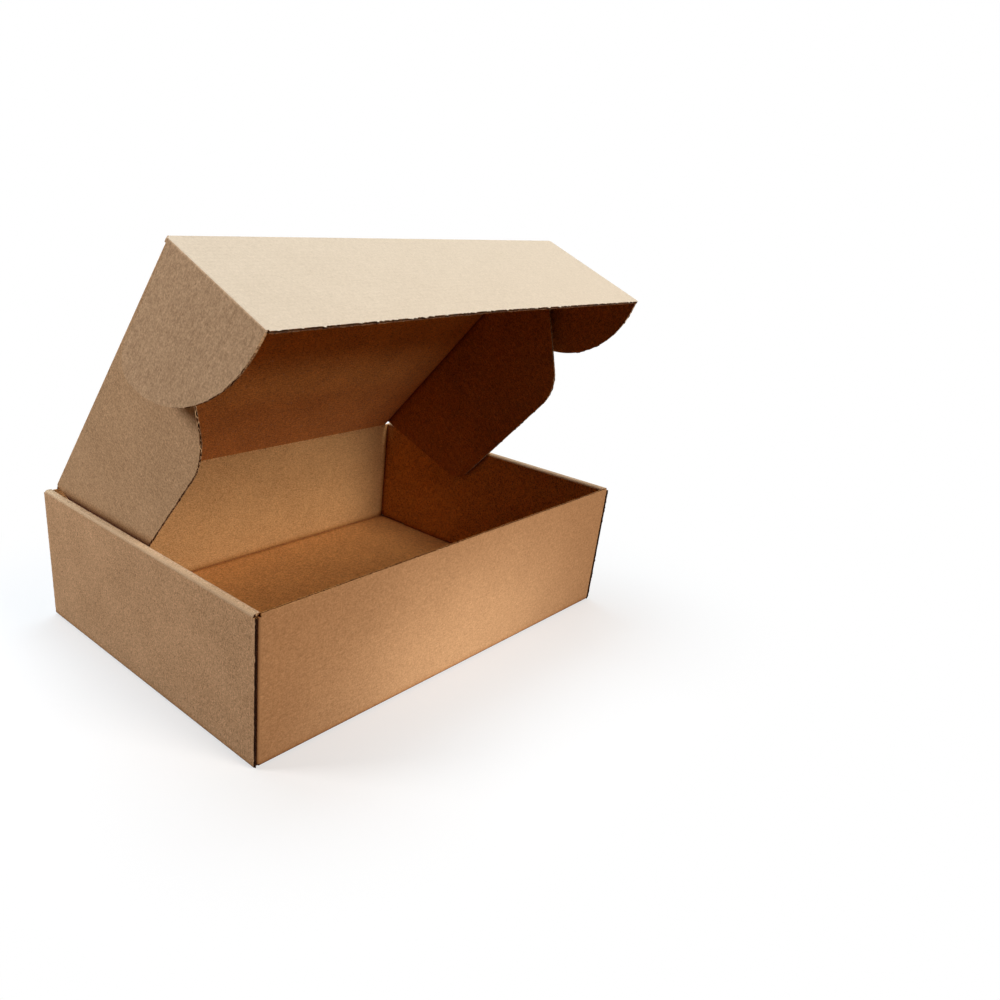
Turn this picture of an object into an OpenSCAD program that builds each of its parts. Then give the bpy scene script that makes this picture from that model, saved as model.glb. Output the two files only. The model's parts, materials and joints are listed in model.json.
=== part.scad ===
// Roll-end mailer box of fine-flute corrugated board, standing open.
// Origin: centre of the underside of the base. Front is -Y, up is +Z.
// Every piece is drawn flat in the place it takes on the closed box, then folded to its rest angle.

/* [Box] */
// outside length, left to right
box_l = 340; // [260:5:420]
// outside depth, front to back
box_w = 231; // [190:1:290]
// outside height of the tray
box_h = 94; // [75:1:120]
// board thickness
board_t = 1.6; // [1.2:0.1:2]
// outer radius of a fixed fold
fold_r = 1.8; // [1.8:0.1:2.6]

/* [Side walls] */
// gap between the outer side wall and the corner flap behind it
flap_gap = 0.5; // [0.3:0.1:1.2]
// gap between the corner flap and the rolled-over inner panel
panel_gap = 0.3; // [0.2:0.1:0.8]
// how far the rolled-over part stops short of the front and back walls
roll_end_gap = 0.3; // [0.2:0.1:1]
// how far the outer side wall stops short of the box corner
side_trim = 0.4; // [0.2:0.1:1]
// length of a corner flap, measured from the outside of the front or back wall
corner_flap_l = 72; // [40:1:85]
// gap above and below a corner flap
corner_flap_lift = 0.3; // [0.2:0.1:1]

/* [Locking tabs] */
// length of one locking tab along the side
tab_l = 52; // [30:1:60]
// distance of a tab's centre from the middle of the side
tab_y = 57.5; // [45:0.5:60]
// gap between the inner panel's foot and the base, beside the tabs
foot_gap = 1; // [0.6:0.1:2]
// clearance round a tab in its slot
slot_clear = 0.3; // [0.2:0.05:0.6]
// how far a tab's end stays above the underside of the base
tab_recess = 0.2; // [0.1:0.1:0.8]
// corner radius of a tab's end
tab_r = 1; // [0.5:0.1:1.2]

/* [Lid] */
// running clearance between folded flaps and what they pass
run_clear = 0.3; // [0.2:0.05:0.5]
// clearance of the lid's end from the back wall's top edge, folded square
hinge_clear = 0.1; // [0.08:0.01:0.2]
// gap of a flap's end from its crease line
crease_gap = 0.08; // [0.05:0.01:0.15]
// angle of the lid above its closed place
lid_open = 48.7; // [30:0.1:120]

/* [Tuck flap] */
// gap between the closed tuck flap's free edge and the base
flap_floor_gap = 6; // [3:0.1:20]
// how much shallower the flap is at the middle of its free edge
flap_dip = 2.5; // [0.5:0.5:6]
// fold of the tuck flap from flat with the lid
flap_fold = 71.6; // [40:0.1:100]

/* [Lid wings] */
// gap between a closed wing's free edge and the base
wing_floor_gap = 2.1; // [1.5:0.1:12]
// distance from the hinge to where a wing's crease starts
wing_start = 5.4; // [3:0.1:12]
// distance from the wing crease's end to the front crease
wing_front_gap = 3.5; // [3:0.1:15]
// run of a wing's slanted back edge along the crease
wing_back_run = 33; // [20:1:50]
// run of a wing's slanted front edge along the crease
wing_front_run = 58; // [30:1:65]
// radius of a wing's back corner
wing_back_r = 20; // [8:1:24]
// radius of a wing's front corner
wing_front_r = 30; // [12:1:32]
// fold of a wing from flat with the lid
wing_fold = 90; // [90:1:120]

/* [Ears] */
// reach of an ear from the tuck flap's end
ear_l = 70; // [50:0.5:85]
// step of an ear's upper edge below the crease line
ear_relief = 3; // [2:0.5:6]
// radius of an ear's upper outer corner
ear_corner_r = 16; // [6:1:20]
// largest radius of an ear's sweep to the free edge
ear_sweep_r = 64; // [40:0.5:80]
// step of an ear's tip back from the flap's free edge
ear_tip_step = 1; // [0.5:0.5:4]
// fold of the left ear from flat with the tuck flap
ear_fold_left = 75; // [60:1:90]
// fold of the right ear from flat with the tuck flap
ear_fold_right = 84; // [60:1:90]

/* [Board edges] */
// pitch of the flutes
flute_pitch = 3.4; // [3:0.1:4.2]
// thickness of a liner
liner_t = 0.25; // [0.2:0.05:0.35]
// half the width of the wave's paper where it crosses the middle
medium_w = 0.25; // [0.2:0.05:0.4]
// half width of a flute mouth at its narrow side
mouth_tip = 0.2; // [0.15:0.05:0.3]
// depth of the open flute mouths
mouth_d = 1.5; // [0.8:0.1:3]
// width of the slit in an edge cut along the flutes
slit_w = 0.7; // [0.4:0.1:0.8]
// depth of that slit
slit_d = 0.9; // [0.5:0.1:1.4]

/* [Node to draw] */
// piece to draw

/* [Hidden] */
kraft = "#b08a5e";
kraft_pale = "#cfae86";
kraft_dark = "#9a7750";
fine = 96;
small = 32;
over = 1;
half_t = board_t / 2;
half_l = box_l / 2;
half_w = box_w / 2;
fold_in_r = fold_r - board_t;

// side wall, from the outside in: outer wall, corner flap, inner panel
side_s = 3 * board_t + flap_gap + panel_gap;
x_roll = half_l - side_s;
x_corner = half_l - board_t - flap_gap;
roll_half_w = half_w - board_t - roll_end_gap;

// stack inside the closed side wall: ear, then wing
x_ear_out = x_roll - run_clear;
x_ear = x_ear_out - board_t;
x_wing_out = x_ear - run_clear;
x_wing = x_wing_out - board_t;

// lid: hinge line in the middle of the back wall's thickness, front crease behind the front wall
hinge_y = half_w - half_t;
hinge_z = box_h - half_t;
hinge_step = (half_t + hinge_clear / 2) / sin(45);
lid_d = hinge_y + half_w - 2 * board_t - run_clear;
flap_d = box_h - 2 * board_t - flap_floor_gap;

// wing outline: u runs along the crease from the hinge, v away from it
wing_d = box_h - 2 * board_t - wing_floor_gap;
wing_end = lid_d - wing_front_gap;
wing_pts = [
    [wing_start, crease_gap],
    [wing_start + wing_back_run, wing_d],
    [wing_end - wing_front_run, wing_d],
    [wing_end, crease_gap]
];
wing_r = [0, wing_back_r, wing_front_r, 0];

// ear outline: u runs along the tuck flap from its crease, v out from the flap's end
ear_tip = flap_d - ear_tip_step;
ear_big_r = min(ear_sweep_r, ear_l - 2 * ear_relief, ear_tip - ear_relief - ear_corner_r);
ear_pts = [
    [ear_relief, crease_gap],
    [ear_relief, ear_l],
    [ear_tip, ear_l],
    [ear_tip, crease_gap]
];
ear_r = [0, ear_corner_r, ear_big_r, 0];

// unit vector from a to b
function toward(a, b) = (b - a) / norm(b - a);
// half the angle between the two sides at corner i of outline p
function half_angle(p, i) =
    let (n = len(p), a = toward(p[i], p[(i + n - 1) % n]), b = toward(p[i], p[(i + 1) % n]))
    acos(a * b) / 2;
// where the arc of radius r at corner i meets the side towards corner j
function tangent(p, i, j, r) = p[i] + toward(p[i], p[j]) * r / tan(half_angle(p, i));
// centre of the arc of radius r at corner i
function arc_mid(p, i, r) =
    let (n = len(p), a = toward(p[i], p[(i + n - 1) % n]), b = toward(p[i], p[(i + 1) % n]))
    p[i] + toward([0, 0], a + b) * r / sin(half_angle(p, i));
// height of the slanted side from a to b at u
function side_v(a, b, u) =
    abs(b[0] - a[0]) < 0.001 ? max(a[1], b[1]) : a[1] + (b[1] - a[1]) * (u - a[0]) / (b[0] - a[0]);
// reach of a four-cornered flap with rounded outer corners, at u along its crease
function reach(p, r, u) =
    let (
        b0 = tangent(p, 1, 0, r[1])[0], b1 = tangent(p, 1, 2, r[1])[0], bm = arc_mid(p, 1, r[1]),
        f0 = tangent(p, 2, 1, r[2])[0], f1 = tangent(p, 2, 3, r[2])[0], fm = arc_mid(p, 2, r[2])
    )
    u <= p[0][0] || u >= p[3][0] ? 0 :
    u < b0 ? side_v(p[0], p[1], u) :
    u < b1 ? bm[1] + sqrt(max(0, r[1] * r[1] - pow(u - bm[0], 2))) :
    u < f0 ? side_v(p[1], p[2], u) :
    u < f1 ? fm[1] + sqrt(max(0, r[2] * r[2] - pow(u - fm[0], 2))) :
    side_v(p[2], p[3], u);

// flat outline with true arcs at its corners
module rounded_outline(p, r) {
    n = len(p);
    polygon([for (i = [0 : n - 1]) each
        r[i] == 0 ? [p[i]] : [tangent(p, i, (i + n - 1) % n, r[i]), tangent(p, i, (i + 1) % n, r[i])]]);
    for (i = [0 : n - 1]) {
        if (r[i] > 0) {
            intersection() {
                polygon([
                    tangent(p, i, (i + n - 1) % n, r[i]),
                    p[i],
                    tangent(p, i, (i + 1) % n, r[i]),
                    arc_mid(p, i, r[i])
                ]);
                translate(arc_mid(p, i, r[i])) circle(r = r[i], $fn = fine);
            }
        }
    }
}

// one open flute mouth, seen end on: wide at the lower liner, narrow at the upper
module mouth_shape() {
    deep = half_t - liner_t;
    wide = flute_pitch / 2 - medium_w - mouth_tip;
    polygon([[-wide, -deep], [wide, -deep], [mouth_tip, deep - medium_w], [-mouth_tip, deep - medium_w]]);
}

// flute mouths along the free edge of a flap drawn in u and v, half a pitch apart and alternating
module mouths(p, r) {
    step = flute_pitch / 2;
    wide = step - medium_w - mouth_tip;
    first = ceil((p[0][0] + wide + liner_t) / step);
    last = floor((p[3][0] - wide - liner_t) / step);
    for (k = [first : last]) {
        u = k * step;
        v = min(reach(p, r, u - wide), reach(p, r, u + wide)) - mouth_d;
        if (v > 2 * mouth_d) {
            translate([u, v, 0])
                rotate([-90, 0, 0])
                    linear_extrude(p[1][1] + over - v)
                        mirror([0, k % 2])
                            mouth_shape();
        }
    }
}

// flap drawn in u and v, with its middle plane at z = 0 and its crease along u
module fluted_flap(p, r) {
    difference() {
        translate([0, 0, -half_t]) linear_extrude(board_t) rounded_outline(p, r);
        mouths(p, r);
    }
}

// quarter of a folded board's section, in the +x +y quadrant
module fold_section() {
    intersection() {
        difference() {
            circle(r = fold_r, $fn = small);
            circle(r = fold_in_r, $fn = small);
        }
        square(fold_r + over);
    }
}

// section of the outer side wall and the fold at its foot, in x and z
module outer_wall_section() {
    translate([half_l - board_t, fold_r]) square([board_t, box_h - 2 * fold_r]);
    translate([half_l - fold_r, fold_r]) mirror([0, 1]) fold_section();
}

// section of the roll-over: top strip and inner panel down to its foot, in x and z
module roll_section() {
    translate([half_l - fold_r, box_h - fold_r]) fold_section();
    translate([x_roll + fold_r, box_h - board_t]) square([side_s - 2 * fold_r, board_t]);
    translate([x_roll + fold_r, box_h - fold_r]) mirror([1, 0]) fold_section();
    translate([x_roll, board_t + foot_gap]) square([board_t, box_h - fold_r - board_t - foot_gap]);
}

// locking tab of the inner panel, in y and z, centred on its length
module tab_outline() {
    low = tab_recess;
    high = board_t + foot_gap;
    translate([-tab_l / 2, low + tab_r]) square([tab_l, high - low - tab_r]);
    translate([tab_r - tab_l / 2, low]) square([tab_l - 2 * tab_r, tab_r]);
    for (s = [-1, 1]) {
        intersection() {
            translate([s * (tab_l / 2 - tab_r), low + tab_r]) circle(r = tab_r, $fn = small);
            translate([s * (tab_l / 2 - tab_r / 2), low + tab_r / 2]) square(tab_r, center = true);
        }
    }
}

// right side wall: outer wall, roll-over, inner panel and locking tabs
module side_wall() {
    difference() {
        rotate([90, 0, 0])
            translate([0, 0, side_trim - half_w])
                linear_extrude(box_w - 2 * side_trim) outer_wall_section();
        for (s = [-1, 1]) {
            translate([half_l - half_t, s * (half_w - side_trim), half_l])
                cube([slit_w, 2 * slit_d, box_l + 4 * fold_r], center = true);
        }
    }
    rotate([90, 0, 0])
        translate([0, 0, -roll_half_w])
            linear_extrude(2 * roll_half_w) roll_section();
    for (s = [-1, 1]) {
        translate([x_roll, s * tab_y, 0])
            rotate([90, 0, 90])
                linear_extrude(board_t) tab_outline();
    }
}

// right front corner flap and the upright fold that joins it to the front wall
module corner_flap() {
    low = board_t + corner_flap_lift;
    translate([0, 0, low]) {
        linear_extrude(box_h - 2 * low) {
            translate([x_corner - fold_r, fold_r - half_w]) mirror([0, 1]) fold_section();
            translate([x_corner - board_t, fold_r - half_w]) square([board_t, corner_flap_l - fold_r]);
        }
    }
}

// base with the four slots for the locking tabs
module base_panel() {
    slot_w = board_t + 2 * slot_clear;
    difference() {
        translate([fold_r - half_l, fold_r - half_w, 0])
            cube([box_l - 2 * fold_r, box_w - 2 * fold_r, board_t]);
        for (sx = [-1, 1]) {
            for (sy = [-1, 1]) {
                translate([sx * (x_roll + half_t), sy * tab_y, half_t])
                    cube([slot_w, tab_l + 2 * slot_clear, board_t + 2 * over], center = true);
            }
        }
    }
}

// front wall and the fold at its foot, with the slit along its top edge
module front_wall() {
    reach_x = x_corner - fold_r;
    rotate([90, 0, 90]) {
        translate([0, 0, -reach_x]) {
            linear_extrude(2 * reach_x) {
                difference() {
                    translate([-half_w, fold_r]) square([board_t, box_h - fold_r]);
                    translate([half_t - slit_w / 2 - half_w, box_h - slit_d]) square([slit_w, slit_d + over]);
                }
                translate([fold_r - half_w, fold_r]) rotate(180) fold_section();
            }
        }
    }
}

// back wall, its foot fold and the rounded edge that carries the lid
module back_wall() {
    reach_x = x_corner - fold_r;
    rotate([90, 0, 90]) {
        translate([0, 0, -reach_x]) {
            linear_extrude(2 * reach_x) {
                translate([half_w - board_t, fold_r]) square([board_t, hinge_z - hinge_step - fold_r]);
                translate([hinge_y, hinge_z - hinge_step]) circle(r = half_t, $fn = small);
                translate([half_w - fold_r, fold_r]) mirror([0, 1]) fold_section();
            }
        }
    }
}

// tray: one folded sheet
module tray() {
    color(kraft) {
        base_panel();
        front_wall();
        back_wall();
        side_wall();
        mirror([1, 0, 0]) side_wall();
        for (sx = [0, 1]) {
            for (sy = [0, 1]) {
                mirror([sx, 0, 0]) mirror([0, sy, 0]) corner_flap();
            }
        }
    }
}

// moves what is drawn on the closed lid, with the hinge line as origin, to the lid's open place
module on_lid() {
    translate([0, hinge_y, hinge_z]) rotate([-lid_open, 0, 0]) children();
}

// moves what is drawn flat in front of the lid to the folded tuck flap
module on_tuck_flap() {
    on_lid() translate([0, -lid_d, -half_t]) rotate([flap_fold, 0, 0]) children();
}

// lid panel with a rounded end at the hinge and a rounded shoulder over each wing's crease
module lid() {
    edge_x = x_wing - crease_gap;
    color(kraft_dark) {
        on_lid() {
            translate([-edge_x, crease_gap - lid_d, -half_t])
                cube([2 * edge_x, lid_d - crease_gap - hinge_step, board_t]);
            translate([-edge_x, -hinge_step, 0])
                rotate([0, 90, 0])
                    cylinder(r = half_t, h = 2 * edge_x, $fn = small);
            for (s = [0, 1]) {
                mirror([s, 0, 0]) wing_shoulder();
            }
        }
    }
}

// quarter-round shoulder on the right edge of the lid, centred on the wing's crease line
module wing_shoulder() {
    translate([x_wing, -wing_start, -half_t]) {
        rotate([90, 0, 0]) {
            linear_extrude(wing_end - wing_start) {
                intersection() {
                    circle(r = board_t, $fn = small);
                    square(board_t + over);
                }
                translate([-2 * crease_gap, 0]) square([2 * crease_gap, board_t]);
            }
        }
    }
}

// flat outline of the tuck flap, u along x, its crease at y = 0
module flap_outline(inset) {
    half_x = x_ear - crease_gap;
    polygon([
        [-half_x, -crease_gap],
        [half_x, -crease_gap],
        [half_x, inset - flap_d],
        [0, inset - flap_d + flap_dip],
        [-half_x, inset - flap_d]
    ]);
}

// tuck flap, its inner face on the crease line
module tuck_flap() {
    color(kraft_pale) {
        on_tuck_flap() {
            difference() {
                linear_extrude(board_t) flap_outline(0);
                translate([0, 0, half_t - slit_w / 2]) {
                    linear_extrude(slit_w) {
                        difference() {
                            translate([-half_l, -flap_d - over]) square([box_l, flap_d]);
                            flap_outline(slit_d);
                            translate([-half_l, -slit_d * 2]) square([box_l, slit_d * 2]);
                        }
                    }
                }
            }
        }
    }
}

// right wing of the lid
module right_wing() {
    on_lid()
        translate([x_wing, 0, -half_t])
            rotate([0, wing_fold, 0])
                translate([0, 0, half_t])
                    rotate([0, 0, -90])
                        fluted_flap(wing_pts, wing_r);
}

// right ear of the tuck flap, folded by the given angle
module right_ear(fold) {
    on_tuck_flap()
        translate([x_ear, 0, 0])
            rotate([0, fold, 0])
                translate([0, 0, half_t])
                    rotate([0, 0, -90])
                        fluted_flap(ear_pts, ear_r);
}

module wing_left() {
    color(kraft) mirror([1, 0, 0]) right_wing();
}

module wing_right() {
    color(kraft) right_wing();
}

module ear_left() {
    color(kraft) mirror([1, 0, 0]) right_ear(ear_fold_left);
}

module ear_right() {
    color(kraft) right_ear(ear_fold_right);
}

tray();
lid();
tuck_flap();
wing_left();
wing_right();
ear_left();
ear_right();
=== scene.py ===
import json
import math
import random

import bmesh
import bpy
from mathutils import Matrix, Vector


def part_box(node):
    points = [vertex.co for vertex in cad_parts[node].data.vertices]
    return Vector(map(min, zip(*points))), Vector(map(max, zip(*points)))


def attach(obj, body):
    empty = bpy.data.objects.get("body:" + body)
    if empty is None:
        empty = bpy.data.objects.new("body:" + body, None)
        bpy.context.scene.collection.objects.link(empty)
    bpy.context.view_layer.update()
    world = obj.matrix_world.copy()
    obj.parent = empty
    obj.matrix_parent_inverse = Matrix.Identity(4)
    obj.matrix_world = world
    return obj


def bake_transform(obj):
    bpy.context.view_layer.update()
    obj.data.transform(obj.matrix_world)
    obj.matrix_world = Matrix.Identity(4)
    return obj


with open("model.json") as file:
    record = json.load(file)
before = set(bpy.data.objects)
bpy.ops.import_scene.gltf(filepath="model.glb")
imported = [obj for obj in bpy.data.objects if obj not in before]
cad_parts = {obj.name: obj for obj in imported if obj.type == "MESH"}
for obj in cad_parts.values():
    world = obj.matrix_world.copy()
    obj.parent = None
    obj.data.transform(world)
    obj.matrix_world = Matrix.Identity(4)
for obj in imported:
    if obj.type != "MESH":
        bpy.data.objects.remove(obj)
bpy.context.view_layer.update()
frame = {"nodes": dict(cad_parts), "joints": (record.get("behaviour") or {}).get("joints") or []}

# Board, in metres
BOARD = 0.0016
HALF_BOARD = BOARD / 2
PITCH = 0.0034
SLIT_DEPTH = 0.0009

# Colours of the kraft papers, linear. All are one kraft. The darker copies for the wings, the ears, the
# front wall, the tray's inner side walls and the inner faces of the lid, flap, wings and ears are painted
# shade. The paler copy for the tuck flap's outer face is a painted highlight.
OUTER = (0.60, 0.375, 0.21)
WING_SHADED = (0.515, 0.327, 0.183)
EAR_SHADED = (0.52, 0.335, 0.195)
FRONT_SHADED = (0.475, 0.253, 0.117)
STRIP = (0.63, 0.43, 0.26)
INNER = (0.58, 0.335, 0.14)
BASE_INNER = (0.62, 0.30, 0.09)
SIDE_INNER_SHADED = (0.50, 0.21, 0.045)
# painted highlight: a paler copy of the outer kraft for the tuck flap's outer face
PALE_HIGHLIT = (0.68, 0.55, 0.41)
LID_INNER_SHADED = (0.52, 0.20, 0.040)
FLAP_INNER_SHADED = (0.35, 0.125, 0.025)

# Dark and light colour of the torn paper on cuts: across the flutes, along them, and at the side walls'
# ends. The dark tones are partly painted shade of the flute hollows and of the slits between the liners, and
# they are near black along the flutes and at the ends.
RAW = ((0.22, 0.11, 0.05), (0.60, 0.39, 0.22))
RAW_ALONG_SHADED = ((0.05, 0.018, 0.008), (0.26, 0.12, 0.05))
RAW_END_SHADED = ((0.022, 0.006, 0.003), (0.075, 0.028, 0.012))

# Mottling of the outer and of the inner paper, and strength of the flute lines
CALM = (0.40, 1.8, 0.008)
LIVELY = (1.65, 2.6, 0.016)
MOTTLED = (1.35, 2.6, 0.016)
DEEP = (1.9, 2.8, 0.012)
# the same for the tray, wall by wall
TRAY_FRONT, TRAY_BACK, TRAY_SIDE, TRAY_PLAIN = 1.0, 1.6, 2.8, 2.0
TRAY_FLUTES = 0.014

JOINTS = {joint["name"]: joint for joint in frame["joints"]}
NODES = frame["nodes"]


def joint_at(name):
    """A point on a joint's axis."""
    return Vector(JOINTS[name]["pos_m"])


def joint_axis(name):
    """The direction of a joint's axis."""
    return Vector(JOINTS[name]["axis"]).normalized()


RIGHT = Vector((1, 0, 0))
HINGE = joint_at("lid_hinge")
FLAP_CREASE = joint_at("tuck_flap_fold")
# directions away from the hinge and away from the lid's front crease
ALONG_LID = -joint_axis("wing_right_fold")
ALONG_FLAP = joint_axis("ear_right_fold")
# directions out of the outer faces of the lid and the tuck flap
OUT_OF_LID = ALONG_LID.cross(RIGHT).normalized()
OUT_OF_FLAP = ALONG_FLAP.cross(RIGHT).normalized()


# Camera

CAMERA_TARGET = Vector((0.01995, 0.0015, 0.02886))
CAMERA_DISTANCE = 0.63783
CAMERA_TURN = -45.71
CAMERA_RISE = 24.04
CAMERA_ROLL = -3.65
CAMERA_CLIP = 0.01
SENSOR = 36.0
LENS = 0.83054 * SENSOR
SHIFT = (0.1428, 0.0638)


def make_camera():
    turn = math.radians(CAMERA_TURN)
    rise = math.radians(CAMERA_RISE)
    roll = math.radians(CAMERA_ROLL)
    level = Vector((math.cos(turn), math.sin(turn), 0))
    ahead = Vector((-math.sin(turn), math.cos(turn), 0))
    forward = math.cos(rise) * ahead - Vector((0, 0, math.sin(rise)))
    down = forward.cross(level)
    right = math.cos(roll) * level + math.sin(roll) * down
    up = math.sin(roll) * level - math.cos(roll) * down
    place = Matrix((right, up, -forward)).transposed().to_4x4()
    place.translation = CAMERA_TARGET - CAMERA_DISTANCE * forward
    data = bpy.data.cameras.new("camera")
    data.sensor_width = SENSOR
    data.lens = LENS
    data.shift_x, data.shift_y = SHIFT
    data.clip_start = CAMERA_CLIP
    camera = bpy.data.objects.new("camera", data)
    camera.matrix_world = place
    bpy.context.scene.collection.objects.link(camera)
    bpy.context.scene.camera = camera


# Shader building

class Shader:
    """Short calls for the nodes that the papers share."""

    def __init__(self, name):
        self.material = bpy.data.materials.new(name)
        self.material.use_nodes = True
        self.tree = self.material.node_tree
        self.surface = self.tree.nodes["Principled BSDF"]

    def node(self, kind, **values):
        made = self.tree.nodes.new(kind)
        for key, value in values.items():
            setattr(made, key, value)
        return made

    def put(self, socket, value):
        """Links a socket to another one, or sets it to a number, vector or colour."""
        if isinstance(value, bpy.types.NodeSocket):
            self.tree.links.new(value, socket)
        elif hasattr(value, "__len__") and len(value) == 3 and len(socket.default_value) == 4:
            socket.default_value = (*value, 1)
        else:
            socket.default_value = value

    def finish(self, values):
        """Puts values on the surface's own sockets, by name."""
        for name, value in values.items():
            self.put(self.surface.inputs[name], value)
        return self.material

    def math(self, operation, a, b=0.0, c=None):
        made = self.node("ShaderNodeMath", operation=operation)
        self.put(made.inputs[0], a)
        self.put(made.inputs[1], b)
        if c is not None:
            self.put(made.inputs[2], c)
        return made.outputs[0]

    def weighted(self, *pairs, start=0.0):
        """The start plus the sum of values, each times its weight."""
        total = start
        for value, weight in pairs:
            total = self.math("MULTIPLY_ADD", value, weight, total)
        return total

    def all_of(self, *masks):
        """1 where every mask is 1."""
        made = masks[0]
        for mask in masks[1:]:
            made = self.math("MULTIPLY", made, mask)
        return made

    def any_of(self, *masks):
        """1 where at least one mask is 1."""
        made = masks[0]
        for mask in masks[1:]:
            made = self.math("MAXIMUM", made, mask)
        return made

    def past(self, value, limit):
        """1 where the value is further from zero than the limit."""
        return self.math("GREATER_THAN", self.math("ABSOLUTE", value), limit)

    def choose(self, factor, a, b):
        """One number where the factor is 0 and another where it is 1."""
        made = self.node("ShaderNodeMix", data_type="FLOAT")
        self.put(made.inputs[0], factor)
        self.put(made.inputs[2], a)
        self.put(made.inputs[3], b)
        return made.outputs[0]

    def mix(self, factor, a, b, blend="MIX"):
        """One colour where the factor is 0 and another where it is 1."""
        made = self.node("ShaderNodeMix", data_type="RGBA", blend_type=blend)
        self.put(made.inputs["Factor"], factor)
        self.put(made.inputs[6], a)
        self.put(made.inputs[7], b)
        return made.outputs[2]

    def vector(self, operation, a, b):
        made = self.node("ShaderNodeVectorMath", operation=operation)
        self.put(made.inputs[0], a)
        self.put(made.inputs[1], b)
        return made.outputs

    def dot(self, a, b):
        return self.vector("DOT_PRODUCT", a, b)["Value"]

    def scaled(self, vector, factors):
        return self.vector("MULTIPLY", vector, factors)[0]

    def split(self, vector):
        made = self.node("ShaderNodeSeparateXYZ")
        self.put(made.inputs[0], vector)
        return made.outputs

    def combine(self, x, y, z):
        made = self.node("ShaderNodeCombineXYZ")
        for socket, value in zip(made.inputs, (x, y, z)):
            self.put(socket, value)
        return made.outputs[0]

    def noise(self, vector, size, detail=2.0, roughness=0.5):
        """Noise from 0 to 1 with lumps of about that size, in metres."""
        made = self.node("ShaderNodeTexNoise")
        self.put(made.inputs["Vector"], vector)
        made.inputs["Scale"].default_value = 1 / size
        made.inputs["Detail"].default_value = detail
        made.inputs["Roughness"].default_value = roughness
        return made.outputs["Fac"]

    def ramp(self, value, low, high):
        """0 below low, 1 above high, smooth between them."""
        made = self.node("ShaderNodeMapRange", interpolation_type="SMOOTHSTEP")
        self.put(made.inputs["Value"], value)
        made.inputs["From Min"].default_value = low
        made.inputs["From Max"].default_value = high
        return made.outputs["Result"]

    def openness(self, reach):
        """1 in the open, and less where other board is nearer than reach."""
        made = self.node("ShaderNodeAmbientOcclusion", samples=OPENNESS_SAMPLES)
        made.inputs["Distance"].default_value = reach
        return made.outputs["AO"]


# Kraft board

# Noise in the paper: size in metres, detail and roughness
CLOUD = (0.035, 2.0, 0.5)
MOTTLE = (0.0028, 3.0, 0.6)
GRAIN = (0.0010, 3.0, 0.62)
FIBRES = (0.0004, 2.0, 0.6)
WAVERING = (0.006, 2.0, 0.5)
TEARING = (0.0016, 1.0, 0.5)
# How that noise is drawn out: factors along the flutes, across them and through the board
FIBRE_PULL = (0.14, 1.0, 1.0)
WAVER_PULL = (0.12, 1.0, 1.0)
TEAR_PULL = (1.0, 1.0, 0.3)
# How much each noise stirs the tone
CLOUD_STIR, MOTTLE_STIR, GRAIN_STIR, FIBRE_STIR = 0.16, 0.30, 0.95, 0.34
# Darkest tone, and how much faster green and blue darken than red
DARKEST = 0.1
GREEN_POWER, BLUE_POWER = 1.12, 1.3
# Specks: how their noise is drawn out, the noise, where it shows, its strength and its colour
PALE_FIBRES = ((1.0, 0.2, 1.0), (0.0005, 2.0, 0.6), (0.66, 0.78), 0.22, (0.80, 0.66, 0.48))
DARK_FLECKS = ((0.45, 1.0, 1.0), (0.0013, 1.0, 0.5), (0.70, 0.76), 0.32, (0.20, 0.11, 0.05))
TEAR_LIMITS = (0.40, 0.60)

# Facing is 1 on the outer face, -1 on the inner one and 0 on a cut
FACE_LIMITS = (-0.2, 0.2)
CUT_LIMITS = (0.45, 0.75)

# Painted shade, darker and redder paper near other board: reach, where it fades, its least value, and powers
# for red, green and blue
OPENNESS_SAMPLES = 6
NOOK_SHADE_REACH = 0.0065
NOOK_SHADE_LIMITS = (0.20, 0.93)
NOOK_SHADE_LEAST = 0.02
NOOK_SHADE_POWERS = (0.65, 1.15, 1.9)
# Painted shade: a thin dark line where boards meet
CREASE_SHADE_REACH = 0.0012
CREASE_SHADE_LIMITS = (0.50, 0.85)
CREASE_SHADE_STRENGTH = 0.75
CREASE_SHADE_TINT = (0.28, 0.18, 0.12)

# Surface
SMOOTHEST, GRAIN_ROUGHNESS = 0.74, 0.16
MOTTLE_RELIEF, FLUTE_RELIEF, GRAIN_RELIEF, FIBRE_RELIEF = 0.5, 0.5, 0.45, 0.35
BUMP_STRENGTH = 0.55
BUMP_HEIGHT = 0.00012
SPECULAR = 0.16
SHEEN, SHEEN_ROUGHNESS = 0.08, 0.5
SHEEN_TINT = (1.0, 0.93, 0.82)


def kraft(name, outer, inner, origin, along, across, out, look, cut=RAW, side=None):
    """Kraft liner on a flat panel: flutes run along one direction and repeat across the other.
    side is 1 or -1 where only the outer or the inner paper shows, and None where the normal tells."""
    s = Shader(name)
    coordinates = s.node("ShaderNodeTexCoord")
    place = s.vector("SUBTRACT", coordinates.outputs["Object"], origin)[0]
    row = s.dot(place, across)
    flat = s.combine(s.dot(place, along), row, s.dot(place, out))
    facing = s.dot(coordinates.outputs["Normal"], out) if side is None else side
    outer_stir, inner_stir, ridges = look
    lively = s.weighted((s.ramp(facing, *FACE_LIMITS), outer_stir - inner_stir), start=inner_stir)
    return finish_kraft(s, flat, row, facing, outer, inner, lively, ridges, cut)


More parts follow.
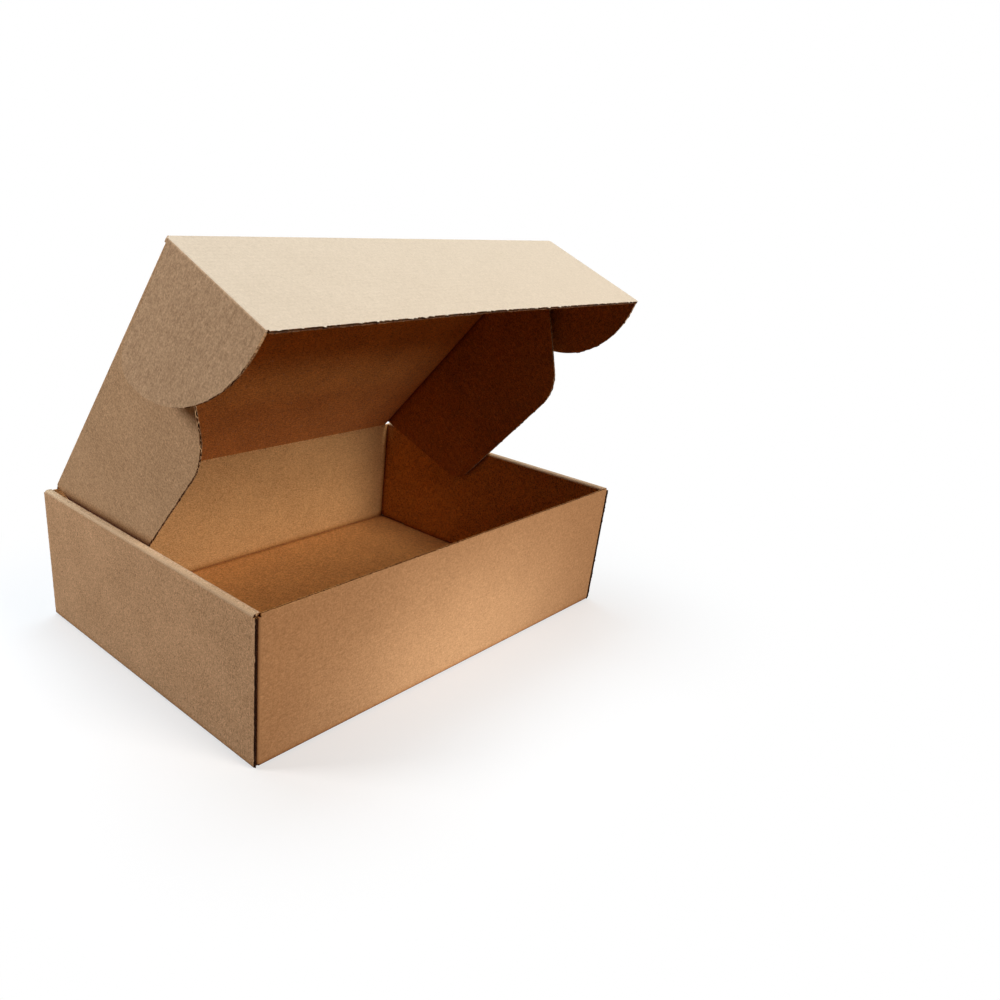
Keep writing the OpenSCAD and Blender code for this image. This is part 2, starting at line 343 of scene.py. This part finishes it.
def finish_kraft(s, flat, row, facing, outer, inner, lively, ridges, cut):
    """The liner's surface. flat is the place in the panel, row the distance across the flutes, lively how
    mottled the paper is, ridges how strong its flute lines are, and cut its torn colours, which are partly
    painted shade."""
    mottle = s.noise(flat, *MOTTLE)
    grain = s.noise(flat, *GRAIN)
    fibres = s.noise(s.scaled(flat, FIBRE_PULL), *FIBRES)
    lines = flute_lines(s, flat, row)
    cloud = s.noise(flat, *CLOUD)
    stirs = ((cloud, CLOUD_STIR), (mottle, MOTTLE_STIR), (grain, GRAIN_STIR), (fibres, FIBRE_STIR))

    paper = s.mix(s.ramp(facing, *FACE_LIMITS), inner, outer)
    colour = s.mix(1.0, paper, paper_shade(s, stirs, lines, lively, ridges), "MULTIPLY")
    colour = add_specks(s, flat, colour, lively)
    is_cut = s.math("SUBTRACT", 1.0, s.ramp(s.math("ABSOLUTE", facing), *CUT_LIMITS))
    torn = s.ramp(s.noise(s.scaled(flat, TEAR_PULL), *TEARING), *TEAR_LIMITS)
    # painted shade in corners, slits and creases
    colour = paint_nook_shade(s, s.mix(is_cut, colour, s.mix(torn, *cut)))

    reliefs = ((mottle, MOTTLE_RELIEF), (lines, FLUTE_RELIEF), (grain, GRAIN_RELIEF), (fibres, FIBRE_RELIEF))
    bump = s.node("ShaderNodeBump")
    bump.inputs["Strength"].default_value = BUMP_STRENGTH
    bump.inputs["Distance"].default_value = BUMP_HEIGHT
    s.put(bump.inputs["Height"], s.weighted(*reliefs))
    return s.finish({
        "Base Color": colour,
        "Roughness": s.weighted((grain, GRAIN_ROUGHNESS), start=SMOOTHEST),
        "Normal": bump.outputs["Normal"],
        "Specular IOR Level": SPECULAR,
        "Sheen Weight": SHEEN,
        "Sheen Roughness": SHEEN_ROUGHNESS,
        "Sheen Tint": SHEEN_TINT,
    })


def flute_lines(s, flat, row):
    """Waves across the flutes, stronger in some places than in others."""
    waves = s.math("COSINE", s.math("MULTIPLY", row, 2 * math.pi / PITCH))
    return s.math("MULTIPLY", waves, s.noise(s.scaled(flat, WAVER_PULL), *WAVERING))


def paper_shade(s, stirs, lines, lively, ridges):
    """Factors for red, green and blue: darker paper is redder too."""
    stir = s.weighted(*((s.math("SUBTRACT", noise, 0.5), weight) for noise, weight in stirs))
    tone = s.weighted((stir, lively), (lines, ridges), start=1.0)
    tone = s.math("MAXIMUM", tone, DARKEST)
    return s.combine(tone, s.math("POWER", tone, GREEN_POWER), s.math("POWER", tone, BLUE_POWER))


def add_specks(s, flat, colour, lively):
    for pull, noise, limits, strength, tint in (PALE_FIBRES, DARK_FLECKS):
        speck = s.ramp(s.noise(s.scaled(flat, pull), *noise), *limits)
        colour = s.mix(s.math("MULTIPLY", speck, s.math("MULTIPLY", lively, strength)), colour, tint)
    return colour


def paint_nook_shade(s, colour):
    """Painted shade: darker and redder paper in corners and slits, with a thin dark line where boards meet.
    """
    unshaded = s.math("MAXIMUM", s.ramp(s.openness(NOOK_SHADE_REACH), *NOOK_SHADE_LIMITS), NOOK_SHADE_LEAST)
    shade_grades = [s.math("POWER", unshaded, power) for power in NOOK_SHADE_POWERS]
    colour = s.scaled(colour, s.combine(*shade_grades))
    line = s.math("SUBTRACT", 1.0, s.ramp(s.openness(CREASE_SHADE_REACH), *CREASE_SHADE_LIMITS))
    return s.mix(s.math("MULTIPLY", line, CREASE_SHADE_STRENGTH), colour, s.scaled(colour, CREASE_SHADE_TINT))


# Which way a face of the tray looks, by its normal
STEEP = 0.7
OUTWARD = 0.3
# How far inside the tray's box its outer faces, its cut ends and its rolled-over top strips reach
OUTER_REACH = 0.0019
CUT_REACH = 0.0018
STRIP_REACH = 0.0075
TOP_REACH = 0.002


def tray_kraft():
    """Kraft for the folded tray: which way the flutes repeat depends on the wall."""
    s = Shader("kraft_tray")
    coordinates = s.node("ShaderNodeTexCoord")
    x, y, z = s.split(coordinates.outputs["Object"])
    lean_x, lean_y, lean_z = s.split(coordinates.outputs["Normal"])
    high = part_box("tray")[1]
    on_side = s.past(lean_x, STEEP)
    on_end = s.past(lean_y, STEEP)
    row = s.choose(on_end, y, z)
    leans = ((lean_x, x), (lean_y, y), (lean_z, z))
    depth = s.weighted(*((s.math("ABSOLUTE", lean), place) for lean, place in leans))
    flat = s.combine(s.choose(on_side, x, z), row, depth)

    out_x = s.math("MULTIPLY", s.math("SIGN", x), lean_x)
    out_y = s.math("MULTIPLY", s.math("SIGN", y), lean_y)
    outside_x = s.all_of(s.math("GREATER_THAN", out_x, OUTWARD), s.past(x, high.x - OUTER_REACH))
    outside_y = s.all_of(s.math("GREATER_THAN", out_y, OUTWARD), s.past(y, high.y - OUTER_REACH))
    between = s.math("LESS_THAN", s.math("ABSOLUTE", y), high.y - CUT_REACH)
    on_top = s.math("GREATER_THAN", z, high.z - TOP_REACH)
    strip = s.all_of(s.past(x, high.x - STRIP_REACH), between, on_top)
    under = s.math("LESS_THAN", lean_z, -OUTWARD)
    outside = s.any_of(outside_x, outside_y, strip, under)
    in_front = s.all_of(outside_y, s.math("LESS_THAN", y, 0.0))
    inside = s.math("SUBTRACT", 1.0, outside)
    cut_end = s.all_of(on_end, s.past(x, high.x - CUT_REACH))
    facing = s.math("MULTIPLY_ADD", outside, 2.0, -1.0)
    facing = s.math("MULTIPLY", facing, s.math("SUBTRACT", 1.0, cut_end))

    # the front wall's outer face and the inner side walls take darker copies of the kraft as painted shade
    outer = s.mix(strip, s.mix(in_front, OUTER, FRONT_SHADED), STRIP)
    inner = s.mix(on_side, s.mix(on_end, BASE_INNER, INNER), SIDE_INNER_SHADED)
    side_stir = (s.all_of(on_side, inside), TRAY_SIDE - TRAY_PLAIN)
    back_stir = (s.all_of(on_end, inside), TRAY_BACK - TRAY_PLAIN)
    front_stir = (in_front, TRAY_FRONT - TRAY_PLAIN)
    lively = s.weighted(side_stir, back_stir, front_stir, start=TRAY_PLAIN)
    return finish_kraft(s, flat, row, facing, outer, inner, lively, TRAY_FLUTES, RAW_END_SHADED)


# Each panel's paper, as kraft() takes it
PAPERS = {}


def dress(node, material):
    mesh = NODES[node].data
    mesh.materials.clear()
    mesh.materials.append(material)


def dress_panel(node, *values):
    PAPERS[node] = values
    dress(node, kraft("kraft_" + node, *values))


def crease_paper(node, side):
    """Paper of a panel's outer side, 1, or inner side, -1, for a crease that bends beside it."""
    name = ("skin_" if side > 0 else "lining_") + node
    return bpy.data.materials.get(name) or kraft(name, *PAPERS[node], side=side)


def panel_out(node, sign):
    """Direction out of a side piece's outer face: the normal of its largest face,
    turned away from the middle."""
    best = max(NODES[node].data.polygons, key=lambda face: face.area)
    normal = best.normal.copy()
    return normal if normal.x * sign > 0 else -normal


def dress_nodes():
    PAPERS["tray"] = (OUTER, INNER, HINGE, RIGHT, Vector((0, 0, 1)), Vector((0, 1, 0)), LIVELY)
    dress("tray", tray_kraft())
    dress_panel("lid", OUTER, LID_INNER_SHADED, HINGE, RIGHT, ALONG_LID, OUT_OF_LID, DEEP)
    dress_panel("tuck_flap", PALE_HIGHLIT, LID_INNER_SHADED, FLAP_CREASE, RIGHT, ALONG_FLAP, OUT_OF_FLAP, CALM, RAW_ALONG_SHADED)
    for side, sign in (("left", -1), ("right", 1)):
        wing, ear = "wing_" + side, "ear_" + side
        out = panel_out(wing, sign)
        dress_panel(wing, WING_SHADED, FLAP_INNER_SHADED, HINGE, ALONG_LID.cross(out), ALONG_LID, out, LIVELY)
        out = panel_out(ear, sign)
        dress_panel(ear, EAR_SHADED, FLAP_INNER_SHADED, FLAP_CREASE, ALONG_FLAP.cross(out), ALONG_FLAP, out, MOTTLED)


# Creases

# How far a crease's skin stands proud, how thick it is, and how deep its flanges' ends are sunk
PROUD = 0.00003
SKIN = 0.00015
SINK = 0.00004
INNER_SINK = 0.00007
# How far the flanges reach over the panels
FLANGE = 0.003
WEDGE_FLANGE = 0.0015
# Turn of the inner liner in the hinge's corner, and steps of the turns
INNER_TURN = 0.0003
INNER_STEPS = 4
CREASE_STEPS = 10
# Where the creases end, along them
LID_SPAN = (-0.1604, 0.1604)
FLAP_SPAN = (-0.1622, 0.1622)
WING_SPAN = (0.0056, 0.2262)
EAR_SPAN = (0.0004, 0.0837)

WALL_OUT = Vector((0, 1, 0))
WALL_DOWN = Vector((0, 0, -1))


def close_mesh(name, points, faces, materials, picks):
    """A closed piece in the board's finish, with one material number for each face."""
    mesh = bpy.data.meshes.new(name)
    mesh.from_pydata(points, [], faces)
    for material in materials:
        mesh.materials.append(material)
    mesh.polygons.foreach_set("material_index", picks)
    shape = bmesh.new()
    shape.from_mesh(mesh)
    bmesh.ops.recalc_face_normals(shape, faces=shape.faces)
    shape.to_mesh(mesh)
    shape.free()
    piece = bpy.data.objects.new(name, mesh)
    bpy.context.scene.collection.objects.link(piece)
    return piece


def sweep(name, ring, along, span, materials, side_picks):
    """Draws a closed ring of points out along a line, and caps both ends with the first material."""
    n = len(ring)
    points = [point + place * along for place in span for point in ring]
    faces = [tuple(range(n - 1, -1, -1))]
    for i in range(n):
        j = (i + 1) % n
        faces.append((i, j, n + j, n + i))
    faces.append(tuple(range(n, 2 * n)))
    return close_mesh(name, points, faces, materials, [0, *side_picks, 0])


def turned(start, end, steps):
    """Unit vectors from one direction to another in even turns."""
    return [start.slerp(end, i / steps) for i in range(steps + 1)]


def fold_wedge(name, at, along, span, first, second):
    """Crushed board that fills the outside of a crease between two panels.
    first and second are (body, out of its outer face, away from the crease)."""
    body_a, out_a, away_a = first
    body_b, out_b, away_b = second
    flange_a, flange_b = WEDGE_FLANGE * away_a, WEDGE_FLANGE * away_b
    reach = BOARD + PROUD
    inner = BOARD - SKIN
    sunk = BOARD - SINK
    ring = [at + sunk * out_a + flange_a]
    ring += [at + reach * direction for direction in turned(out_a, out_b, CREASE_STEPS)]
    ring += [at + sunk * out_b + flange_b, at + inner * out_b + flange_b, at + inner * out_b]
    ring += [at, at + inner * out_a, at + inner * out_a + flange_a]
    half = CREASE_STEPS // 2 + 1
    picks = [0] * half + [1] * (len(ring) - half - 3) + [0] * 3
    papers = (crease_paper(body_a, 1), crease_paper(body_b, 1))
    piece = sweep(name, ring, along, span, papers, picks)
    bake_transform(piece)


def hinge_outer_liner():
    """The outer liner, unbroken from the back wall to the lid."""
    reach = HALF_BOARD + PROUD
    inner = HALF_BOARD - SKIN
    sunk = HALF_BOARD - SINK
    down, onward = FLANGE * WALL_DOWN, FLANGE * ALONG_LID
    ring = [HINGE + sunk * WALL_OUT + down]
    ring += [HINGE + reach * direction for direction in turned(WALL_OUT, OUT_OF_LID, CREASE_STEPS)]
    ring += [HINGE + sunk * OUT_OF_LID + onward, HINGE + inner * OUT_OF_LID + onward]
    ring += [HINGE + inner * direction for direction in turned(OUT_OF_LID, WALL_OUT, CREASE_STEPS)]
    ring += [HINGE + inner * WALL_OUT + down]
    turn = CREASE_STEPS // 2 + 1
    picks = [0] * turn + [1] * (2 * turn) + [0] * (len(ring) - 3 * turn)
    papers = (crease_paper("tray", 1), crease_paper("lid", 1))
    piece = sweep("hinge_outer_liner", ring, RIGHT, LID_SPAN, papers, picks)
    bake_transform(piece)


def hinge_inner_liner():
    """The inner liner, unbroken from the back wall to the lid, with a tight turn in the corner."""
    middle = -(WALL_OUT + OUT_OF_LID).normalized()
    lean = middle.dot(-WALL_OUT)
    corner = HINGE + (HALF_BOARD + PROUD) / lean * middle
    back = HINGE + (HALF_BOARD - SKIN) / lean * middle
    down, onward = FLANGE * WALL_DOWN, FLANGE * ALONG_LID
    steps = [INNER_TURN * k / INNER_STEPS for k in range(INNER_STEPS, 0, -1)]
    ring = [corner + down + INNER_SINK * WALL_OUT]
    ring += [corner + step * WALL_DOWN for step in steps] + [corner]
    ring += [corner + step * ALONG_LID for step in reversed(steps)]
    ring += [corner + onward + INNER_SINK * OUT_OF_LID, back + onward, back, back + down]
    picks = [0] * (INNER_STEPS + 1) + [1] * (INNER_STEPS + 3) + [0] * 2
    papers = (crease_paper("tray", -1), crease_paper("lid", -1))
    piece = sweep("hinge_inner_liner", ring, RIGHT, LID_SPAN, papers, picks)
    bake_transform(piece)


def away_from(node, at, along, out):
    """Direction in a panel's plane that leads away from its crease."""
    corners = NODES[node].data.vertices
    middle = sum((v.co for v in corners), Vector()) / len(corners) - at
    away = out.cross(along).normalized()
    return away if away.dot(middle) > 0 else -away


def side_crease(node, sign, along, span, beside):
    """The crease of a wing or an ear on the piece beside it: (body, out of its outer face)."""
    at = joint_at(node + "_fold")
    out = panel_out(node, sign)
    away = away_from(node, at, along, out)
    fold_wedge("crease_" + node, at, along, span, (*beside, -sign * RIGHT), (node, out, away))


def creases():
    hinge_outer_liner()
    hinge_inner_liner()
    lid_side = ("lid", OUT_OF_LID, -ALONG_LID)
    flap_side = ("tuck_flap", OUT_OF_FLAP, ALONG_FLAP)
    fold_wedge("crease_tuck_flap", FLAP_CREASE, RIGHT, FLAP_SPAN, lid_side, flap_side)
    for side, sign in (("left", -1), ("right", 1)):
        side_crease("wing_" + side, sign, ALONG_LID, WING_SPAN, ("lid", OUT_OF_LID))
        side_crease("ear_" + side, sign, ALONG_FLAP, EAR_SPAN, ("tuck_flap", OUT_OF_FLAP))


# Torn paper along the cuts

# Spacing of the points along a cut
STEP = 0.0007
# How far the liners' lips stand out, and further on the tuck flap's outer side
FRAY = 0.00038
FLAP_FRAY = 0.0009
# How deep in the board the lips start, how thick they are and how far they stay inside its faces
LIP_DEPTH = 0.0002
LIP_THICK = 0.00012
LIP_SINK = 0.00001
# The waves' paper in a slit: thickness, sideways wander, height and its wander
WAVE_THICK = 0.00016
SLIT_WANDER = 0.00018
WAVE_TOP = 0.00022
WAVE_TOP_WANDER = 0.00016
# How many neighbours each run is averaged over, and what makes up for it
LIP_SMOOTH, WANDER_SMOOTH, TOP_SMOOTH = 3, 14, 2
SMOOTH_GAIN = 1.6
# Material numbers: the panel's own paper, and the waves' paper in wide and in narrow slits
PANEL_PAPER, OPEN_SLIT, SHUT_SLIT = 0, 1, 2
SLIT_PAPERS = []

# The tray's and the tuck flap's cuts
END_TRIM = 0.0004
FOLD_RADIUS = 0.0018
TRAY_FRONT_HALF = 0.166
FLAP_HALF = 0.1624
DIP = 0.0025
# How far from its crease a side piece's edge is free, and how well its outer faces line up
FREE_FROM = 0.0015
SAME_FACE = 0.995

TRAY_SEED, FLAP_SEED, WING_SEED, EAR_SEED = 11, 12, 21, 31


def run(chance, count, smooth):
    """A seeded run of values from -1 to 1 or so, averaged over a few neighbours."""
    loose = [chance.uniform(-1, 1) for _ in range(count + smooth)]
    return [SMOOTH_GAIN * sum(loose[i:i + smooth]) / smooth for i in range(count)]


def resample(points):
    """Points every STEP along a polyline, each with its direction of travel."""
    made = []
    for a, b in zip(points, points[1:]):
        length = (b - a).length
        if length < 1e-7:
            continue
        count = max(1, round(length / STEP))
        made += [(a.lerp(b, i / count), (b - a) / length) for i in range(count)]
    made.append((points[-1], made[-1][1]))
    return made


class Torn:
    """Collects closed ribbons of torn paper that ride on one body."""

    def __init__(self, body, seed):
        self.body = body
        self.chance = random.Random(seed)
        self.points = []
        self.faces = []
        self.picks = []

    def add(self, rings, pick):
        """Joins rings of four points to one ribbon, closed at both ends."""
        start = len(self.points)
        self.picks += [pick] * (4 * len(rings) - 2)
        for ring in rings:
            self.points += ring
        self.faces.append((start + 3, start + 2, start + 1, start))
        for r in range(len(rings) - 1):
            low = start + 4 * r
            for i in range(4):
                j = (i + 1) % 4
                self.faces.append((low + i, low + j, low + 4 + j, low + 4 + i))
        last = start + 4 * (len(rings) - 1)
        self.faces.append((last, last + 1, last + 2, last + 3))

    def ribbon(self, path, across, into, offsets, tops, bottom, thick, pick):
        """A thin wall along a path. Its offsets are across the board's thickness,
        and its tops and bottom are distances into the board."""
        side = across * (thick / 2)
        rings = []
        for (point, _), inward, offset, top in zip(path, into, offsets, tops):
            middle = point + across * offset
            upper, lower = middle + inward * top, middle + inward * bottom
            rings.append([upper - side, upper + side, lower + side, lower - side])
        self.add(rings, pick)

    def waves(self, path, across, into, pick):
        """The waves' paper, left standing in the slit of a cut along the flutes."""
        count = len(path)
        offsets = [SLIT_WANDER * v for v in run(self.chance, count, WANDER_SMOOTH)]
        tops = [WAVE_TOP + WAVE_TOP_WANDER * v for v in run(self.chance, count, TOP_SMOOTH)]
        self.ribbon(path, across, into, offsets, tops, SLIT_DEPTH, WAVE_THICK, pick)

    def lip(self, path, across, into, face, fray):
        """A liner's frayed lip: face is its distance from the middle of the board."""
        count = len(path)
        tops = [-fray * max(0.0, v) for v in run(self.chance, count, LIP_SMOOTH)]
        self.ribbon(path, across, into, [face] * count, tops, LIP_DEPTH, LIP_THICK, PANEL_PAPER)

    def edge(self, path, across, into, slit=None, fray=FRAY):
        """Both liners' lips and, in a slit, the waves' paper. slit is the number of its material."""
        face = HALF_BOARD - LIP_THICK / 2 - LIP_SINK
        self.lip(path, across, into, face, fray)
        self.lip(path, across, into, -face, FRAY)
        if slit is not None:
            self.waves(path, across, into, slit)

    def finish(self):
        papers = (NODES[self.body].data.materials[0], *SLIT_PAPERS)
        piece = close_mesh("torn_" + self.body, self.points, self.faces, papers, self.picks)
        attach(piece, self.body)


def outer_loop(node, out):
    """The outline of a panel's outer face, in order."""
    mesh = NODES[node].data
    counts = {}
    for face in mesh.polygons:
        if face.normal.dot(out) > SAME_FACE:
            for key in face.edge_keys:
                counts[key] = counts.get(key, 0) + 1
    beside = {}
    for (a, b), count in counts.items():
        if count == 1:
            beside.setdefault(a, []).append(b)
            beside.setdefault(b, []).append(a)
    first = next(iter(beside))
    order = [first, beside[first][0]]
    while True:
        onward = [v for v in beside[order[-1]] if v != order[-2]]
        if not onward or onward[0] == first:
            break
        order.append(onward[0])
    return [mesh.vertices[v].co.copy() for v in order]


def tear_side_piece(node, along, out, seed):
    """Frayed liners round the free edges of a wing or an ear."""
    at = joint_at(node + "_fold")
    away = away_from(node, at, along, out)
    loop = outer_loop(node, out)
    reach = [(point - at).dot(away) for point in loop]
    start = reach.index(min(reach))
    loop = loop[start:] + loop[:start]
    free = [point for point in loop if (point - at).dot(away) > FREE_FROM]
    path = resample([point - out * HALF_BOARD for point in free])
    middle = sum(free, Vector()) / len(free)
    turn = 1 if out.cross(path[0][1]).dot(middle - path[0][0]) > 0 else -1
    into = [turn * out.cross(direction).normalized() for _, direction in path]
    torn = Torn(node, seed)
    torn.edge(path, out, into)
    torn.finish()


def tear_tray():
    """The front wall's top edge and the upright ends of the outer side walls."""
    low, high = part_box("tray")
    torn = Torn("tray", TRAY_SEED)
    front = low.y + HALF_BOARD
    path = resample([Vector((x, front, high.z)) for x in (-TRAY_FRONT_HALF, TRAY_FRONT_HALF)])
    torn.edge(path, WALL_OUT, [WALL_DOWN] * len(path), OPEN_SLIT)
    for x in (low.x + HALF_BOARD, high.x - HALF_BOARD):
        for y, inward in ((low.y + END_TRIM, 1), (high.y - END_TRIM, -1)):
            path = resample([Vector((x, y, z)) for z in (FOLD_RADIUS, high.z - FOLD_RADIUS)])
            torn.edge(path, RIGHT, [inward * WALL_OUT] * len(path), SHUT_SLIT)
    torn.finish()


def tear_tuck_flap():
    """The free edge, with its shallow dip in the middle."""
    out = OUT_OF_FLAP
    reach = max((v.co - FLAP_CREASE).dot(ALONG_FLAP) for v in NODES["tuck_flap"].data.vertices)
    middle = FLAP_CREASE + out * HALF_BOARD
    left, right = (middle + ALONG_FLAP * reach + sign * RIGHT * FLAP_HALF for sign in (-1, 1))
    path = resample([left, middle + ALONG_FLAP * (reach - DIP), right])
    torn = Torn("tuck_flap", FLAP_SEED)
    torn.edge(path, out, [-ALONG_FLAP] * len(path), OPEN_SLIT, FLAP_FRAY)
    torn.finish()


# Noise in the waves' paper: size in metres, detail and roughness
WAVE_GRAIN = (0.0009, 2.0, 0.6)
WAVE_PATCHES = (0.004, 1.0, 0.5)
WAVE_PATCH_LIMITS = (0.35, 0.65)
WAVE_SMOOTHEST, WAVE_GRAIN_ROUGHNESS = 0.75, 0.2
WAVE_SPECULAR = 0.2


def wave_paper(name, cut):
    """Rough brown paper of the waves, torn in the slits. Its dark colours are partly painted shade of the
    slits.
    """
    s = Shader(name)
    place = s.node("ShaderNodeTexCoord").outputs["Object"]
    grain = s.noise(place, *WAVE_GRAIN)
    patch = s.ramp(s.noise(place, *WAVE_PATCHES), *WAVE_PATCH_LIMITS)
    return s.finish({
        "Base Color": s.mix(s.math("MULTIPLY", patch, grain), *cut),
        "Roughness": s.weighted((grain, WAVE_GRAIN_ROUGHNESS), start=WAVE_SMOOTHEST),
        "Specular IOR Level": WAVE_SPECULAR,
    })


def torn_edges():
    SLIT_PAPERS.append(wave_paper("fluting_open_shaded", RAW_ALONG_SHADED))
    SLIT_PAPERS.append(wave_paper("fluting_shut_shaded", RAW_END_SHADED))
    tear_tray()
    tear_tuck_flap()
    for more, (side, sign) in enumerate((("left", -1), ("right", 1))):
        wing, ear = "wing_" + side, "ear_" + side
        tear_side_piece(wing, ALONG_LID, panel_out(wing, sign), WING_SEED + more)
        tear_side_piece(ear, ALONG_FLAP, panel_out(ear, sign), EAR_SEED + more)


# Floor

FLOOR_SIZE = 12.0
FLOOR_DROP = 0.0002
FLOOR_SEEN = (0.92, 0.91, 0.91)
FLOOR_BOUNCE = (0.20, 0.115, 0.055)
FLOOR_ROUGHNESS, FLOOR_SPECULAR = 0.9, 0.1
# Share of plain white beside the box, and the distance from it where the floor is all white
WHITE_NEAR = 0.55
WHITE_AT = 0.16


def make_floor():
    mesh = bpy.data.meshes.new("floor")
    h = FLOOR_SIZE / 2
    mesh.from_pydata([(-h, -h, 0), (h, -h, 0), (h, h, 0), (-h, h, 0)], [], [(0, 1, 2, 3)])
    mesh.materials.append(floor_paint())
    floor = bpy.data.objects.new("floor", mesh)
    floor.location.z = -FLOOR_DROP
    bpy.context.scene.collection.objects.link(floor)


def floor_paint():
    """Pale floor that keeps a soft shadow near the box and turns to plain white further out."""
    s = Shader("floor")
    x, y, _ = s.split(s.node("ShaderNodeTexCoord").outputs["Object"])
    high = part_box("tray")[1]
    past_x = s.math("MAXIMUM", s.math("SUBTRACT", s.math("ABSOLUTE", x), high.x), 0.0)
    past_y = s.math("MAXIMUM", s.math("SUBTRACT", s.math("ABSOLUTE", y), high.y), 0.0)
    length = s.node("ShaderNodeVectorMath", operation="LENGTH")
    s.put(length.inputs[0], s.combine(past_x, past_y, 0.0))
    away = s.weighted((s.ramp(length.outputs["Value"], 0.0, WHITE_AT), 1 - WHITE_NEAR), start=WHITE_NEAR)
    seen = s.node("ShaderNodeLightPath").outputs["Is Camera Ray"]
    s.finish({
        "Base Color": s.mix(seen, FLOOR_BOUNCE, FLOOR_SEEN),
        "Roughness": FLOOR_ROUGHNESS,
        "Specular IOR Level": FLOOR_SPECULAR,
    })
    white = s.node("ShaderNodeEmission")
    white.inputs["Strength"].default_value = 1.0
    mixed = s.node("ShaderNodeMixShader")
    s.put(mixed.inputs[0], s.math("MULTIPLY", away, seen))
    s.put(mixed.inputs[1], s.surface.outputs[0])
    s.put(mixed.inputs[2], white.outputs[0])
    s.put(s.tree.nodes["Material Output"].inputs["Surface"], mixed.outputs[0])
    return s.material


# Light

def around(turn, rise, distance, aim):
    """A point that far from aim, turned from straight in front of the box towards its right, and raised."""
    turn, rise = math.radians(turn), math.radians(rise)
    level = distance * math.cos(rise)
    height = distance * math.sin(rise)
    return (aim[0] + level * math.sin(turn), aim[1] - level * math.cos(turn), aim[2] + height)


KEY_AIM = (0.03, -0.05, 0.1)
# Area lights: place, aim, size, watts, colour and spread in degrees
LIGHTS = {
    "key": (around(12, 32, 1.7, KEY_AIM), KEY_AIM, (0.7, 0.7), 23, (1.0, 0.91, 0.82), 180),
    "top": ((0.1, 0.4, 1.5), (0.05, 0, 0.15), (0.9, 0.6), 15.3, (0.67, 0.85, 1.0), 180),
    "left": ((-1.08, 0.74, 0.86), (-0.15, 0, 0.1), (0.45, 0.45), 14.0, (1.0, 0.985, 0.97), 180),
    "right": ((1.3, 0.3, 0.55), (0.1, 0, 0.08), (0.8, 0.8), 4.5, (1.0, 0.96, 0.9), 180),
    "glow": ((0.01, -0.34, 0.02), (0.01, -0.115, 0.01), (0.18, 0.04), 0.06, (0.82, 0.93, 1.0), 55),
}
WORLD_COLOUR = (1.0, 0.88, 0.74)
WORLD_STRENGTH = 0.02


def area_light(name, place, aim, size, power, colour, spread):
    data = bpy.data.lights.new(name, "AREA")
    data.shape = "RECTANGLE"
    data.size, data.size_y = size
    data.energy = power
    data.color = colour
    data.spread = math.radians(spread)
    light = bpy.data.objects.new(name, data)
    light.location = place
    light.rotation_euler = (Vector(aim) - Vector(place)).to_track_quat("-Z", "Y").to_euler()
    bpy.context.scene.collection.objects.link(light)


def make_light():
    for name, values in LIGHTS.items():
        area_light(name, *values)


def make_world():
    """Weak warm light all round, behind a plain white backdrop."""
    world = bpy.data.worlds.new("world")
    bpy.context.scene.world = world
    world.use_nodes = True
    tree = world.node_tree
    soft = tree.nodes["Background"]
    soft.inputs["Color"].default_value = (*WORLD_COLOUR, 1)
    soft.inputs["Strength"].default_value = WORLD_STRENGTH
    white = tree.nodes.new("ShaderNodeBackground")
    white.inputs["Color"].default_value = (1, 1, 1, 1)
    mixed = tree.nodes.new("ShaderNodeMixShader")
    path = tree.nodes.new("ShaderNodeLightPath")
    tree.links.new(path.outputs["Is Camera Ray"], mixed.inputs[0])
    tree.links.new(soft.outputs[0], mixed.inputs[1])
    tree.links.new(white.outputs[0], mixed.inputs[2])
    tree.links.new(mixed.outputs[0], tree.nodes["World Output"].inputs["Surface"])


make_camera()
dress_nodes()
creases()
torn_edges()
make_floor()
make_light()
make_world()
bpy.context.scene.view_settings.view_transform = "Standard"
